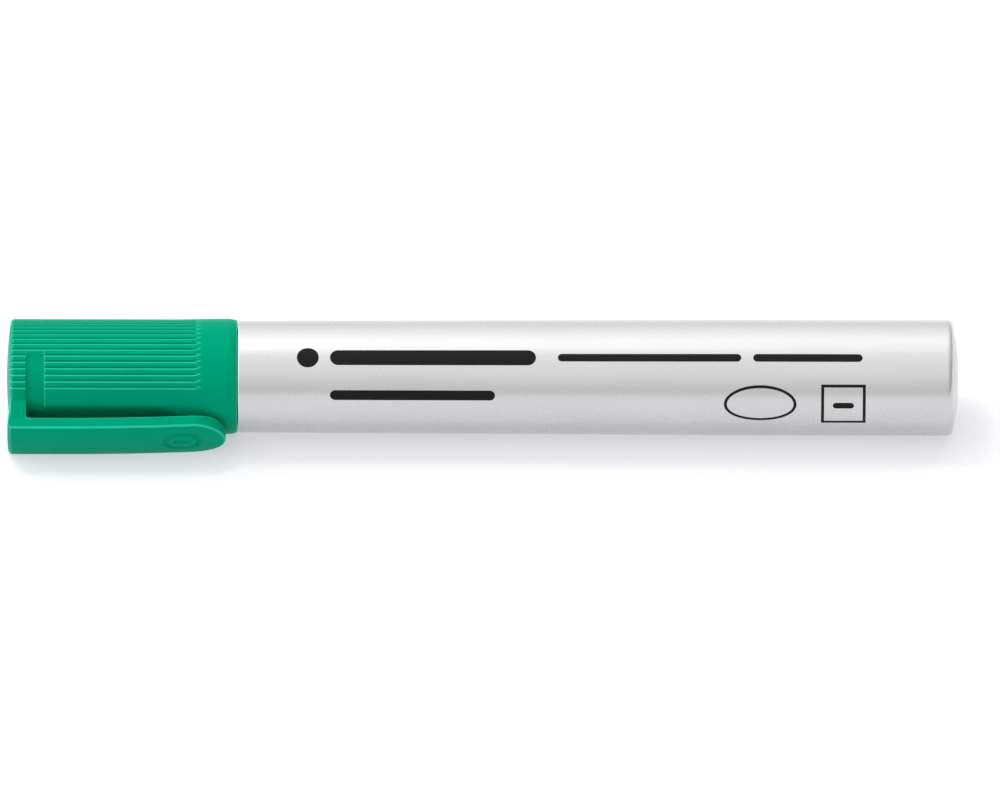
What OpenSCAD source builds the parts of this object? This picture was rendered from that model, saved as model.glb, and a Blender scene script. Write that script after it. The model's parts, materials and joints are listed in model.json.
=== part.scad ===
// Capped whiteboard marker lying on its side. The cap, with its clip, is at the -X end and the barrel
// runs to +X. It rests on the barrel, the lip of the cap and the lower edge of the clip.
// Every name ending in _s is a distance along the marker from the closed end of the cap.

/* [Marker] */
// Length from the closed end of the cap to the rear face
total_len = 135; // [130:1:145]
// Facets per turn on the round surfaces
fine = 96; // [48:16:128]

/* [Barrel] */
// Diameter at the rear, which is a true cylinder for a holder to grip
rear_d = 16.4; // [16.4:0.1:16.8]
// Diameter at the front, next to the cap
front_d = 15.84; // [15.6:0.02:16]
// Length of the straight rear stretch
straight_len = 28; // [20:1:40]
// Radius of the rounded rear corner
rear_corner_r = 0.75; // [0.4:0.05:1]
// Radius of the dome on the rear end
rear_dome_r = 34; // [30:1:60]
// Diameter of the flat at the middle of the rear dome
rear_flat_d = 6; // [4:0.5:8]
// Diameter of the main bore
bore_d = 13.8; // [13.6:0.1:14]
// Diameter of the narrower front bore that grips the nib holder
socket_d = 12.8; // [12.6:0.1:12.9]
// Length of the front bore
socket_len = 9.4; // [9:0.1:10]
// Number of inner ribs that centre the reservoir
rib_count = 6; // [4:1:8]
// Width of an inner rib
rib_w = 0.7; // [0.5:0.1:1]

/* [Cap] */
// Length of the cap
cap_len = 32.7; // [32.5:0.1:34]
// Diameter over the lands between the grooves
cap_d = 16.16; // [16:0.02:16.3]
// Radius of the dome on the closed end
cap_dome_r = 55; // [40:1:80]
// Radius of the rounded corner at the closed end
cap_corner_r = 0.5; // [0.3:0.05:0.8]
// Length of the smooth lip at the mouth
lip_len = 4.5; // [3.5:0.1:4.5]
// Length of the rounded taper at the end of the lip
lip_taper_len = 1.1; // [0.6:0.1:1.5]
// Depth of that taper
lip_taper_depth = 0.24; // [0.1:0.02:0.3]
// Diameter of the bore that slides over the neck
mouth_d = 14; // [13.9:0.05:14.1]
// Depth of the annular snap groove in that bore
snap_depth = 0.08; // [0.05:0.01:0.12]
// Diameter of the pocket for the inner cap
pocket_d = 13.4; // [13.3:0.05:13.5]
// Thickness of the closed end
cap_end_t = 1.8; // [1.6:0.1:2]

/* [Grip grooves] */
// Number of grooves
groove_count = 40; // [30:2:42]
// Angle from one groove to the next
groove_pitch = 6.65; // [6:0.01:6.7]
// Width of a groove at the surface
groove_w = 0.42; // [0.3:0.02:0.5]
// Depth of a groove
groove_depth = 0.24; // [0.15:0.01:0.3]
// Distance from the closed end to where the grooves start
groove_from_s = 1.2; // [1:0.1:2]
// Distance from the closed end to where the grooves stop
groove_to_s = 27.2; // [24:0.1:27.6]

/* [Clip] */
// Width of the clip
clip_w = 8; // [7.6:0.1:8.4]
// Thickness of the clip along its two edges
clip_t = 1.6; // [1.5:0.05:1.7]
// Distance from the axis to the clip's outer face at its edges
clip_r = 10.5; // [10.4:0.05:10.6]
// How much the outer face swells between its edges
clip_crown = 0.5; // [0.2:0.05:0.6]
// Distance along the marker to the tip of the clip
clip_len = 31.1; // [30:0.1:31.5]
// Length of the straight part before the clip starts to bow inwards
clip_straight_len = 8; // [8:0.5:12]
// Radius of the clip's inward bow
clip_bow_r = 400; // [400:10:600]
// Length of the solid root that carries the clip
root_len = 2.8; // [2.8:0.05:3]
// Radius of the rounded outer end of the root
root_corner_r = 0.7; // [0.3:0.05:0.8]
// Depth of the oval relief in the clip's outer face
relief_depth = 0.2; // [0.1:0.05:0.3]

/* [Slot behind the root] */
// Length of the slot along the marker
slot_len = 2.5; // [2:0.05:2.5]
// Depth of the slot under the clip
slot_depth = 0.55; // [0.3:0.05:0.6]
// Angle on each side of the clip at which the slot fades out
slot_half_angle = 88; // [80:1:88]

/* [Flat under the clip] */
// Distance from the axis to the flat
flat_r = 7.05; // [7:0.05:7.8]
// Distance from the closed end to where the flat starts to rise
flat_to_s = 22; // [18:0.5:22]
// Length of the slope that it rises by
flat_ramp_len = 4; // [4:0.5:5]

/* [Inner cap] */
// Length of the inner cap
liner_len = 20.7; // [20:0.1:21]
// Thickness of its closed end
liner_end_t = 1.2; // [1:0.1:1.4]
// Inner diameter
liner_bore_d = 10.8; // [10.6:0.1:11]
// Diameter of the lip that seals on the nose
seal_d = 10.08; // [10.06:0.01:10.1]

/* [Nib holder] */
// Distance from the cap's closed end to the front of the nose
nose_s = 15.2; // [15:0.1:16]
// Diameter of the nose
nose_d = 10; // [9.8:0.02:10]
// Distance from the cap's closed end to the shoulder behind the nose
shoulder_s = 24.5; // [24:0.1:25]
// Diameter of the neck that the cap slides over
neck_d = 13.6; // [13.4:0.05:13.7]
// Height of the snap bead on the neck
bead_h = 0.15; // [0.05:0.01:0.15]
// Length of the plug inside the barrel
plug_len = 8.4; // [8:0.1:9]

/* [Nib] */
// Distance from the cap's closed end to the nib's writing edge
nib_s = 8.2; // [8.2:0.1:10]
// Width of the nib
nib_w = 5.2; // [4.8:0.1:5.6]
// Thickness of the nib between its flats
nib_t = 4; // [3.6:0.1:4.4]
// Length of the nib
nib_len = 41.8; // [40:0.1:42]
// Angle of the slanted writing edge
nib_slant = 35; // [20:1:45]
// Angle of each side of the wedge at the writing edge
nib_wedge = 24; // [15:1:30]

/* [Reservoir] */
// Outer diameter of the wrapped reservoir
reservoir_d = 12; // [11.8:0.05:12]
// Thickness of the wrapping film
film_t = 0.12; // [0.1:0.01:0.2]
// Length of the reservoir
reservoir_len = 82.5; // [80:0.5:83]

/* [Rear plug] */
// Length of the rear plug
rear_plug_len = 8.6; // [7:0.1:8.6]
// Thickness of its walls
rear_plug_t = 1.3; // [1:0.1:1.6]

/* [Hidden] */

// Clearances: between pieces pressed together, and between the pieces that move
press_gap = 0.02;
hinge_gap = 0.05;
mouth_gap = 0.1;
// Cutting tools reach this far past the surface that they cut
over = 1;
// Edge breaks on the mouths, the seam of the rear plug and the front of the barrel
edge_break = 0.2;
arc_steps = 8;
// The nib's rear end is a cone that sits in a hollow of the reservoir. Its writing edge is this round.
nib_point_len = 5;
nib_edge_r = 0.35;

// Stations along the marker
barrel_s = cap_len + mouth_gap;
socket_end_s = barrel_s + socket_len;
straight_s = total_len - rear_corner_r - straight_len;
lip_s = cap_len - lip_len;
bore_s = cap_end_t + liner_len + 0.5;
plug_end_s = barrel_s + plug_len;
nib_end_s = nib_s + nib_len;
reservoir_s = plug_end_s + press_gap;
rear_plug_s = total_len - rear_plug_len;
slot_s = root_len;
liner_s = cap_end_t + press_gap;

// The clip's round root turns in a socket in the cap, at the middle of the thickness of its edges.
// The cap's root leans back from the clip above that line by hinge_lean, to leave room for the turn.
hinge_s = root_len;
hinge_r = clip_r - clip_t / 2;
hinge_lean = 10;
clip_top = clip_r + clip_crown;
clip_bow_end = clip_len - clip_straight_len;

// The marker lies on its barrel and on the clip's lower outer corner. clip_roll is the angle of the
// clip below the horizontal, and axis_y centres the marker's box on the origin.
axis_z = rear_d / 2;
clip_corner_r = sqrt(pow(clip_r, 2) + pow(clip_w / 2, 2));
clip_roll = asin(axis_z / clip_corner_r) - atan2(clip_w / 2, clip_r);
clip_reach = clip_r * cos(clip_roll) + clip_w / 2 * sin(clip_roll);
axis_y = (clip_reach - axis_z) / 2;

// Points of an arc around [across, along], from angle a to angle b
function arc(across, along, r, a, b, steps = arc_steps) =
    [for (i = [0:steps]) let (t = a + (b - a) * i / steps) [across + r * cos(t), along + r * sin(t)]];

// Half of a domed end with a rounded corner, from the axis out to the side at radius side_r, with
// its middle at 0 and the rest above it. It starts at radius from_r.
function domed_end(side_r, dome_r, corner_r, from_r = 0) =
    let (lean = asin((side_r - corner_r) / (dome_r - corner_r)),
         rise = sqrt(pow(dome_r, 2) - pow(from_r, 2)))
    concat(arc(0, rise, dome_r, asin(from_r / dome_r) - 90, lean - 90),
           arc(side_r - corner_r, rise - (dome_r - corner_r) * cos(lean), corner_r, lean - 90, 0));

// The barrel's outline at the rear, seen from the rear face, in [radius, distance from the face]
rear_outline = domed_end(rear_d / 2, rear_dome_r, rear_corner_r, rear_flat_d / 2);
rear_sag_at_bore = sqrt(pow(rear_dome_r, 2) - pow(rear_flat_d / 2, 2))
    - sqrt(pow(rear_dome_r, 2) - pow(bore_d / 2, 2));

// How far the clip's outer face has bowed inwards at a distance along the marker
function bow(s) = s < clip_straight_len ? 0 :
    clip_bow_r - sqrt(pow(clip_bow_r, 2) - pow(s - clip_straight_len, 2));

// Lays the marker down: its own frame has the axis along +X and the clip at +Z
module lying() {
    translate([-total_len / 2, axis_y, axis_z])
        rotate([90 + clip_roll, 0, 0])
            children();
}

// A solid of revolution about the marker's axis, from points [radius, distance along]
module turned(points) {
    rotate([0, 90, 0])
        rotate_extrude($fn = fine)
            polygon(points);
}

// A cylinder on the marker's axis
module rod(from, to, d) {
    translate([from, 0, 0])
        rotate([0, 90, 0])
            cylinder(h = to - from, d = d, $fn = fine);
}

// A cylinder across the clip, on the line that the clip turns about
module hinge_rod(r, width) {
    translate([hinge_s, width / 2, hinge_r])
        rotate([90, 0, 0])
            cylinder(h = width, r = r, $fn = fine);
}

// A flat outline [distance along, height] made as wide as asked, centred on the axis
module across(points, width) {
    translate([0, width / 2, 0])
        rotate([90, 0, 0])
            linear_extrude(width)
                polygon(points);
}

// The crowned section that the clip and its root share: round on the outside
module clip_crowned() {
    crown_r = (pow(clip_w / 2, 2) + pow(clip_crown, 2)) / (2 * clip_crown);
    translate([0, 0, clip_top - crown_r])
        rod(-over, clip_len + over, 2 * crown_r);
}

module barrel() {
    front_r = front_d / 2;
    outer = concat([[socket_d / 2, barrel_s],
                    [front_r - edge_break, barrel_s],
                    [front_r, barrel_s + edge_break],
                    [rear_d / 2, straight_s]],
                   [for (i = [len(rear_outline) - 1:-1:0])
                       let (p = rear_outline[i])
                           if (p[0] > bore_d / 2 + edge_break) [p[0], total_len - p[1]]]);
    inner = [[bore_d / 2 + edge_break, total_len - rear_sag_at_bore],
             [bore_d / 2, total_len - rear_sag_at_bore - edge_break],
             [bore_d / 2, socket_end_s],
             [socket_d / 2, socket_end_s - edge_break]];
    color([0.78, 0.79, 0.80])
    lying() {
        turned(concat(outer, inner));
        intersection() {
            rod(socket_end_s, rear_plug_s - over, bore_d + rear_d - front_d);
            difference() {
                for (i = [0:rib_count - 1])
                    rotate([i * 360 / rib_count, 0, 0])
                        translate([socket_end_s - over, -rib_w / 2, 0])
                            cube([total_len, rib_w, rear_d]);
                rod(0, total_len + over, reservoir_d + 4 * press_gap);
            }
        }
    }
}

module nib_holder() {
    neck_r = neck_d / 2;
    bead_s = shoulder_s + 2;
    bore_r = nib_w / 2 + press_gap;
    sleeve_r = bore_r + 1;
    wall = 1.2;
    color([0.70, 0.71, 0.72])
    lying() {
        turned([[bore_r, nose_s],
                [nose_d / 2 - 2 * edge_break, nose_s],
                [nose_d / 2, nose_s + 2 * edge_break],
                [nose_d / 2, shoulder_s],
                [neck_r - edge_break, shoulder_s],
                [neck_r, shoulder_s + edge_break],
                [neck_r, bead_s - 3 * bead_h],
                [neck_r + bead_h, bead_s],
                [neck_r + bead_h, bead_s + bead_h],
                [neck_r, bead_s + 4 * bead_h],
                [neck_r, barrel_s],
                [socket_d / 2 - press_gap, barrel_s],
                [socket_d / 2 - press_gap, plug_end_s - edge_break],
                [socket_d / 2 - press_gap - edge_break, plug_end_s],
                [socket_d / 2 - wall, plug_end_s],
                [socket_d / 2 - wall, shoulder_s + wall],
                [sleeve_r, shoulder_s + wall],
                [sleeve_r, plug_end_s - wall],
                [bore_r, plug_end_s - wall]]);
        difference() {
            for (turn = [0, 90])
                rotate([turn, 0, 0])
                    translate([shoulder_s + wall - press_gap, -socket_d / 2 + wall / 2, -rib_w / 2])
                        cube([plug_len, socket_d - wall, rib_w]);
            rod(0, total_len, 2 * sleeve_r - wall);
        }
    }
}

module chisel_nib() {
    wedge_len = (nib_t / 2 - nib_edge_r) / tan(nib_wedge);
    color([0.06, 0.36, 0.24])
    lying()
        intersection() {
            turned([[0, nib_s],
                    [nib_w / 2, nib_s],
                    [nib_w / 2, nib_end_s - nib_point_len],
                    [nib_edge_r, nib_end_s],
                    [0, nib_end_s]]);
            // The flats and the wedge, whose sides run along the slanted writing edge
            translate([nib_s, -nib_w / 2, 0])
                rotate([0, 0, -nib_slant])
                    across([[0, nib_edge_r],
                            [wedge_len, nib_t / 2],
                            [nib_len, nib_t / 2],
                            [nib_len, -nib_t / 2],
                            [wedge_len, -nib_t / 2],
                            [0, -nib_edge_r]],
                           2 * nib_len);
        }
}

module reservoir_fibre() {
    fibre_d = reservoir_d - 2 * film_t - 2 * press_gap;
    nib_hole_r = nib_w / 2 + press_gap;
    color([0.10, 0.45, 0.30])
    lying()
        turned([[nib_hole_r, reservoir_s],
                [fibre_d / 2, reservoir_s],
                [fibre_d / 2, reservoir_s + reservoir_len],
                [0, reservoir_s + reservoir_len],
                [0, nib_end_s + press_gap],
                [nib_edge_r + press_gap, nib_end_s + press_gap],
                [nib_hole_r, nib_end_s - nib_point_len + press_gap]]);
}

module reservoir_film() {
    color([0.90, 0.92, 0.93])
    lying()
        difference() {
            rod(reservoir_s, reservoir_s + reservoir_len, reservoir_d);
            rod(reservoir_s - over, total_len, reservoir_d - 2 * film_t);
        }
}

module rear_plug() {
    skirt_r = bore_d / 2 - press_gap;
    face = [for (p = rear_outline) if (p[0] < skirt_r - edge_break) [p[0], total_len - p[1]]];
    edge_s = total_len - rear_sag_at_bore;
    floor_s = edge_s - rear_plug_t;
    color([0.76, 0.77, 0.78])
    lying() {
        turned(concat([[0, total_len]], face,
                      [[skirt_r - edge_break, edge_s],
                       [skirt_r, edge_s - edge_break],
                       [skirt_r, rear_plug_s + edge_break],
                       [skirt_r - edge_break, rear_plug_s],
                       [skirt_r - rear_plug_t, rear_plug_s],
                       [skirt_r - rear_plug_t, floor_s],
                       [0, floor_s]]));
        // A cross inside the skirt keeps the reservoir forwards
        for (turn = [0, 90])
            rotate([turn, 0, 0])
                translate([rear_plug_s, -skirt_r + rear_plug_t / 2, -rib_w / 2])
                    cube([rear_plug_len - rear_plug_t, 2 * skirt_r - rear_plug_t, rib_w]);
    }
}

// Everything of the cap that is turned about its axis
module cap_body() {
    land_r = cap_d / 2;
    lip_r = rear_d / 2;
    step = lip_r - land_r;
    mouth_r = mouth_d / 2;
    snap_s = shoulder_s + 2;
    turned(concat(domed_end(land_r, cap_dome_r, cap_corner_r),
                  [[land_r, lip_s],
                   [lip_r, lip_s + 4 * step],
                   [lip_r, cap_len - lip_taper_len],
                   [lip_r - lip_taper_depth / 3, cap_len - lip_taper_len / 2],
                   [lip_r - lip_taper_depth, cap_len],
                   [mouth_r + edge_break, cap_len],
                   [mouth_r, cap_len - edge_break],
                   [mouth_r, snap_s + 1],
                   [mouth_r + snap_depth, snap_s + 0.7],
                   [mouth_r + snap_depth, snap_s - 0.4],
                   [mouth_r, snap_s - 0.8],
                   [mouth_r, bore_s],
                   [pocket_d / 2, bore_s - edge_break],
                   [pocket_d / 2, cap_end_t],
                   [0, cap_end_t]]));
}

module grip_grooves() {
    land_r = cap_d / 2;
    half_w = groove_w / 2 * (groove_depth + over) / groove_depth;
    for (i = [0:groove_count - 1])
        rotate([180 + (i - (groove_count - 1) / 2) * groove_pitch, 0, 0])
            translate([groove_from_s, 0, land_r - groove_depth])
                rotate([90, 0, 90])
                    linear_extrude(groove_to_s - groove_from_s)
                        polygon([[0, 0], [half_w, groove_depth + over], [-half_w, groove_depth + over]]);
}

// The slot is deepest under the clip and fades out round the sides, because its floor is a
// cylinder set off from the axis, away from the clip
module root_slot() {
    difference() {
        rod(slot_s, slot_s + slot_len, cap_d + 2 * over);
        translate([0, 0, -slot_depth])
            rod(slot_s - over, slot_s + slot_len + over,
                cap_d + 2 * slot_depth * cos(slot_half_angle));
    }
}

// The flat leaves more room under the clip. It starts at the root and slopes up to the surface.
module clip_flat() {
    land_r = cap_d / 2;
    across([[slot_s, flat_r],
            [flat_to_s, flat_r],
            [flat_to_s + flat_ramp_len, land_r],
            [flat_to_s + flat_ramp_len, land_r + over],
            [slot_s, land_r + over]],
           clip_w + over);
}

// The cap's own half of the clip root, with the round socket for the clip
module clip_root() {
    face_lean = 0.3;
    // The root's underside lies within the wall of the cap all the way across
    low = (pocket_d / 2 + sqrt(pow(cap_d / 2, 2) - pow(clip_w / 2, 2))) / 2;
    difference() {
        intersection() {
            across(concat([[root_len, low], [root_len, clip_top]],
                          arc(root_corner_r, clip_top - root_corner_r, root_corner_r, 90, 180),
                          [[face_lean, low]]),
                   clip_w);
            clip_crowned();
        }
        hinge_rod(clip_t / 2 + hinge_gap, clip_w + over);
        across([[hinge_s + over, hinge_r],
                [hinge_s, hinge_r],
                [hinge_s - clip_r * tan(hinge_lean), hinge_r + clip_r],
                [hinge_s + over, hinge_r + clip_r]],
               clip_w + over);
    }
}

module cap_shell() {
    color([0.05, 0.60, 0.42])
    lying() {
        difference() {
            cap_body();
            grip_grooves();
            root_slot();
            clip_flat();
        }
        clip_root();
    }
}

module inner_cap() {
    outer_r = pocket_d / 2 - press_gap;
    inner_r = liner_bore_d / 2;
    seal_s = liner_s + liner_len - 4;
    seal_len = 1;
    ramp = 1.2;
    color([0.93, 0.95, 0.94])
    lying()
        turned([[0, liner_s],
                [outer_r - edge_break, liner_s],
                [outer_r, liner_s + edge_break],
                [outer_r, liner_s + liner_len],
                [inner_r + 2 * edge_break, liner_s + liner_len],
                [inner_r, liner_s + liner_len - 2 * edge_break],
                [inner_r, seal_s + ramp],
                [seal_d / 2, seal_s + seal_len / 2],
                [seal_d / 2, seal_s - seal_len / 2],
                [inner_r, seal_s - ramp],
                [inner_r, liner_s + liner_end_t],
                [0, liner_s + liner_end_t]]);
}

module clip() {
    tip_r = clip_w / 2;
    lead_in = 1.4;
    lead_rise = 0.6;
    relief_s = 25;
    relief_half_len = 3;
    relief_half_w = 1.7;
    outer_face = [for (i = [0:arc_steps])
        let (s = clip_straight_len + clip_bow_end * i / arc_steps) [s, clip_top - bow(s)]];
    inner_face = [for (i = [arc_steps - 1:-1:0])
        let (s = clip_straight_len + (clip_bow_end - lead_in) * i / (arc_steps - 1))
            [s, clip_r - clip_t - bow(s)]];
    side = concat([[hinge_s, clip_top]], outer_face,
                  [[clip_len, clip_r - clip_t - bow(clip_len) + lead_rise]],
                  inner_face, [[hinge_s, clip_r - clip_t]]);
    color([0.05, 0.60, 0.42])
    lying()
        difference() {
            intersection() {
                union() {
                    across(side, clip_w);
                    hinge_rod(clip_t / 2, clip_w);
                }
                clip_crowned();
                // The clip seen from outside: straight sides and a round tip
                union() {
                    translate([0, -clip_w / 2, 0])
                        cube([clip_len - tip_r, clip_w, clip_corner_r + over]);
                    translate([clip_len - tip_r, 0, 0])
                        cylinder(h = clip_corner_r + over, r = tip_r, $fn = fine);
                }
            }
            // A plain oval relief near the tip
            translate([relief_s, 0, clip_top - bow(relief_s) - relief_depth])
                linear_extrude(over)
                    polygon([for (t = [0:15:345]) [relief_half_len * cos(t), relief_half_w * sin(t)]]);
        }
}

barrel();
nib_holder();
chisel_nib();
reservoir_fibre();
reservoir_film();
rear_plug();
cap_shell();
inner_cap();
clip();
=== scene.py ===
"""Looks of a capped whiteboard marker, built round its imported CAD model.

Lengths are in millimetres and angles in degrees until place() turns them into the row frame.
A point on the marker is given by s, its distance from the closed end of the cap, and either by
(out, across) or by (radius, turn). "Out" is the way the clip points and "across" is square to it,
on the upper side, so a turn of 0 is at the middle of the clip and a turn of 90 is above it.
"""

import json
import math

import bmesh
import bpy
import numpy as np
from mathutils import Matrix, Vector


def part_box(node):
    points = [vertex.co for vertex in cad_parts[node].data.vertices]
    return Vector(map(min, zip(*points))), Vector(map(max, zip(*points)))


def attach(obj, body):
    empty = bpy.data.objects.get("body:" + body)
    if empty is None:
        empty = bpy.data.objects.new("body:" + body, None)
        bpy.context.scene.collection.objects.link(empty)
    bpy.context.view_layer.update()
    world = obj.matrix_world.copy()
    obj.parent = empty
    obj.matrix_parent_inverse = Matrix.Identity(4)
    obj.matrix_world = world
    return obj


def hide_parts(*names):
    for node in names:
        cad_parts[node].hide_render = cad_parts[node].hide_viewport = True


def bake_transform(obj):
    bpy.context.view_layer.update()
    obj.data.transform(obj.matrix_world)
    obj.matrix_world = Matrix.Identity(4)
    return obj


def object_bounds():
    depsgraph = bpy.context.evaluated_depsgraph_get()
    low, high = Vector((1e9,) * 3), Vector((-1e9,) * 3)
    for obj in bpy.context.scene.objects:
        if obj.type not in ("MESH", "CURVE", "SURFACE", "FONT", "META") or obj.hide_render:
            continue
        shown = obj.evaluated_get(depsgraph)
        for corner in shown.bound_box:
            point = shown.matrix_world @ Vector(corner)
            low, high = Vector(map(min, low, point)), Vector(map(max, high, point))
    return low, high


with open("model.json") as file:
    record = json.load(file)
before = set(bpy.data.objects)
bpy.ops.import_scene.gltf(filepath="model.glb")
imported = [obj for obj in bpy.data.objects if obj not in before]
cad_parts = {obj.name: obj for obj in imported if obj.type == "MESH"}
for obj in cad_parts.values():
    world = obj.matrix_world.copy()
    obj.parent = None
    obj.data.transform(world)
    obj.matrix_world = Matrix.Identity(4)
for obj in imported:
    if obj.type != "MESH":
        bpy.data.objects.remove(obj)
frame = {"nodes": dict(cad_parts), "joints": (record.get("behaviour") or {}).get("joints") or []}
cad_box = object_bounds()

MM = 0.001

# ---------------------------------------------------------------------------------------------
# Places taken from the CAD model
# ---------------------------------------------------------------------------------------------

barrel_low, barrel_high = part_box("barrel")
AXIS_Y = (barrel_low.y + barrel_high.y) / 2
AXIS_Z = (barrel_low.z + barrel_high.z) / 2
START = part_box("cap_shell")[0].x
CLIP_JOINT = next(j for j in frame["joints"] if j["name"] == "clip_flex")
HINGE = Vector(CLIP_JOINT["pos_m"])
OUT = Vector((0, HINGE.y - AXIS_Y, HINGE.z - AXIS_Z)).normalized()
ACROSS = Vector((0, OUT.z, -OUT.y))


def along(x):
    """Distance from the closed end of the cap, in mm, of a place on the row's X axis."""
    return (x - START) / MM


def span(node):
    """Where a CAD node starts and ends along the marker, in mm."""
    low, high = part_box(node)
    return along(low.x), along(high.x)


REAR_R = (barrel_high.z - barrel_low.z) / 2 / MM
BARREL_S = span("barrel")[0]
CAP_LEN = span("cap_shell")[1]
TOTAL = span("rear_plug")[1]
NOSE_S, PLUG_END_S = span("nib_holder")
NIB_S, NIB_END_S = span("chisel_nib")
LINER_S, LINER_END_S = span("inner_cap")
REAR_PLUG_S = span("rear_plug")[0]
CLIP_END_S = span("clip")[1]

# ---------------------------------------------------------------------------------------------
# Sizes that the photograph and the CAD model share, in mm and degrees
# ---------------------------------------------------------------------------------------------

FRONT_R = 7.92
REAR_STRAIGHT = 28
BORE_R = 6.9
SOCKET_R = 6.4
REAR_DOME_R, REAR_CORNER_R, REAR_FLAT_R = 34, 0.75, 3

LAND_R = 8.08
LIP_R = 8.2 - 0.02
CAP_DOME_R, CAP_CORNER_R = 55, 0.5
MOUTH_R, POCKET_R = 7.0, 6.7
# The middle of the snap bead on the neck and of the groove for it in the cap
SNAP_S = 26.5
POCKET_FROM_S, POCKET_TO_S = 1.8, 23.0
TAPER_LEN, TAPER_DEPTH = 1.1, 0.24

GROOVES = 40
GROOVE_PITCH = 6.65
GROOVE_EASY_W, GROOVE_STEEP_W, GROOVE_DEPTH = 0.32, 0.13, 0.19
GROOVE_FADE_S, GROOVE_END_S = 26.5, 27.7
# On the closed end the grooves deepen over NOTCH_FADE from this radius, and near the rim they
# also sink the face
NOTCH_FROM_R, NOTCH_FADE = 6.4, 1.2
SUNK_RIM, SUNK_FADE = 0.1, 0.4

SLOT_FROM_S, SLOT_TO_S = 2.8, 5.35
SLOT_TURN, SLOT_FADE = 88, 9
SLOT_DEPTH, SLOT_EXTRA = 0.32, 0.23

CLIP_HALF_W, CLIP_TOP, CLIP_CROWN, CLIP_T = 4.0, 11.0, 0.5, 1.6
CLIP_STRAIGHT, CLIP_BOW_R = 8, 400
CLIP_TIP_LEN = 4.9
RELIEF_S, RELIEF_HALF_LEN, RELIEF_HALF_W = 25.0, 3.0, 2.3
RELIEF_BORDER = 1.15
ROOT_END_S = 2.8
# The root's underside is an arch of this radius, inside the wall of the cap, and its sides end at
# this height
ROOT_ARCH_R = 6.9
ROOT_SIDE_OUT = ROOT_ARCH_R * 0.7

FLAT_R, FLAT_TO_S, FLAT_END_S = 7.05, 22.0, 26.0

# ---------------------------------------------------------------------------------------------
# Mesh helpers
# ---------------------------------------------------------------------------------------------

# Outward bends, in radians per mm, where the painted edge highlight and the smoother roughness start
# to show and are full. A crease of more than CRISP radians is too thin to get either.
BEND_FROM, BEND_TO = 1.5, 3.0
CRISP = 0.75


def place(s, out, across):
    """Row-frame points, in metres, of arrays or numbers s, out and across in mm."""
    s, out, across = np.broadcast_arrays(*(np.asarray(a, float) for a in (s, out, across)))
    return np.stack(
        [
            START + s * MM,
            AXIS_Y + (out * OUT.y + across * ACROSS.y) * MM,
            AXIS_Z + (out * OUT.z + across * ACROSS.z) * MM,
        ],
        axis=-1,
    )


def turned(s, radius, turn):
    """Row-frame points at a radius and a turn, in degrees, about the marker's axis."""
    t = np.radians(turn)
    return place(s, radius * np.cos(t), radius * np.sin(t))


def smooth(x):
    """0 below 0, 1 above 1 and a smooth rise between."""
    x = np.clip(x, 0, 1)
    return x * x * (3 - 2 * x)


def grid_faces(rows, columns, close_rows, close_columns):
    """The quads of a grid of points, joined up at its ends where asked."""
    r = np.arange(rows if close_rows else rows - 1)[:, None]
    c = np.arange(columns if close_columns else columns - 1)[None, :]
    r2, c2 = (r + 1) % rows, (c + 1) % columns
    corners = [r * columns + c, r * columns + c2, r2 * columns + c2, r2 * columns + c]
    return np.stack([a.ravel() for a in corners], axis=1).tolist()


def mask_edge_highlight(bm):
    """Stores how sharply the surface turns outwards at each point, from 0 to 1, as "edge", the mask for
    the painted edge highlight.
    """
    layer = bm.verts.layers.float.new("edge")
    for edge in bm.edges:
        if len(edge.link_faces) != 2:
            continue
        angle = edge.calc_face_angle_signed(0.0)
        if not 0 < angle < CRISP:
            continue
        first, second = edge.link_faces
        reach = (first.calc_center_median() - second.calc_center_median()).length / MM
        bend = angle / max(reach, 0.01)
        value = min(max((bend - BEND_FROM) / (BEND_TO - BEND_FROM), 0.0), 1.0)
        for vert in edge.verts:
            vert[layer] = max(vert[layer], value)


def piece(name, points, faces, material, sharp=40.0, weld=0.0004):
    """A smooth-shaded mesh object with outward normals. Edges sharper than sharp stay hard."""
    mesh = bpy.data.meshes.new(name)
    mesh.from_pydata(np.asarray(points).reshape(-1, 3).tolist(), [], faces)
    bm = bmesh.new()
    bm.from_mesh(mesh)
    bmesh.ops.remove_doubles(bm, verts=bm.verts, dist=weld * MM)
    bmesh.ops.recalc_face_normals(bm, faces=bm.faces)
    for face in bm.faces:
        face.smooth = True
    mask_edge_highlight(bm)
    bm.to_mesh(mesh)
    bm.free()
    mesh.set_sharp_from_angle(angle=math.radians(sharp))
    obj = bpy.data.objects.new(name, mesh)
    bpy.context.scene.collection.objects.link(obj)
    mesh.materials.append(material)
    return obj


def grid_piece(name, points, material, close_rows=False, close_columns=False, **options):
    """A piece from a grid of points, shaped (rows, columns, 3)."""
    faces = grid_faces(points.shape[0], points.shape[1], close_rows, close_columns)
    return piece(name, points, faces, material, **options)


def arc(centre, radius, first, last, steps):
    """Points [s, r] of an arc, with angles in degrees from the +s direction towards +r."""
    t = np.radians(np.linspace(first, last, steps + 1))
    return np.stack([centre[0] + radius * np.cos(t), centre[1] + radius * np.sin(t)], axis=1)


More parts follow.
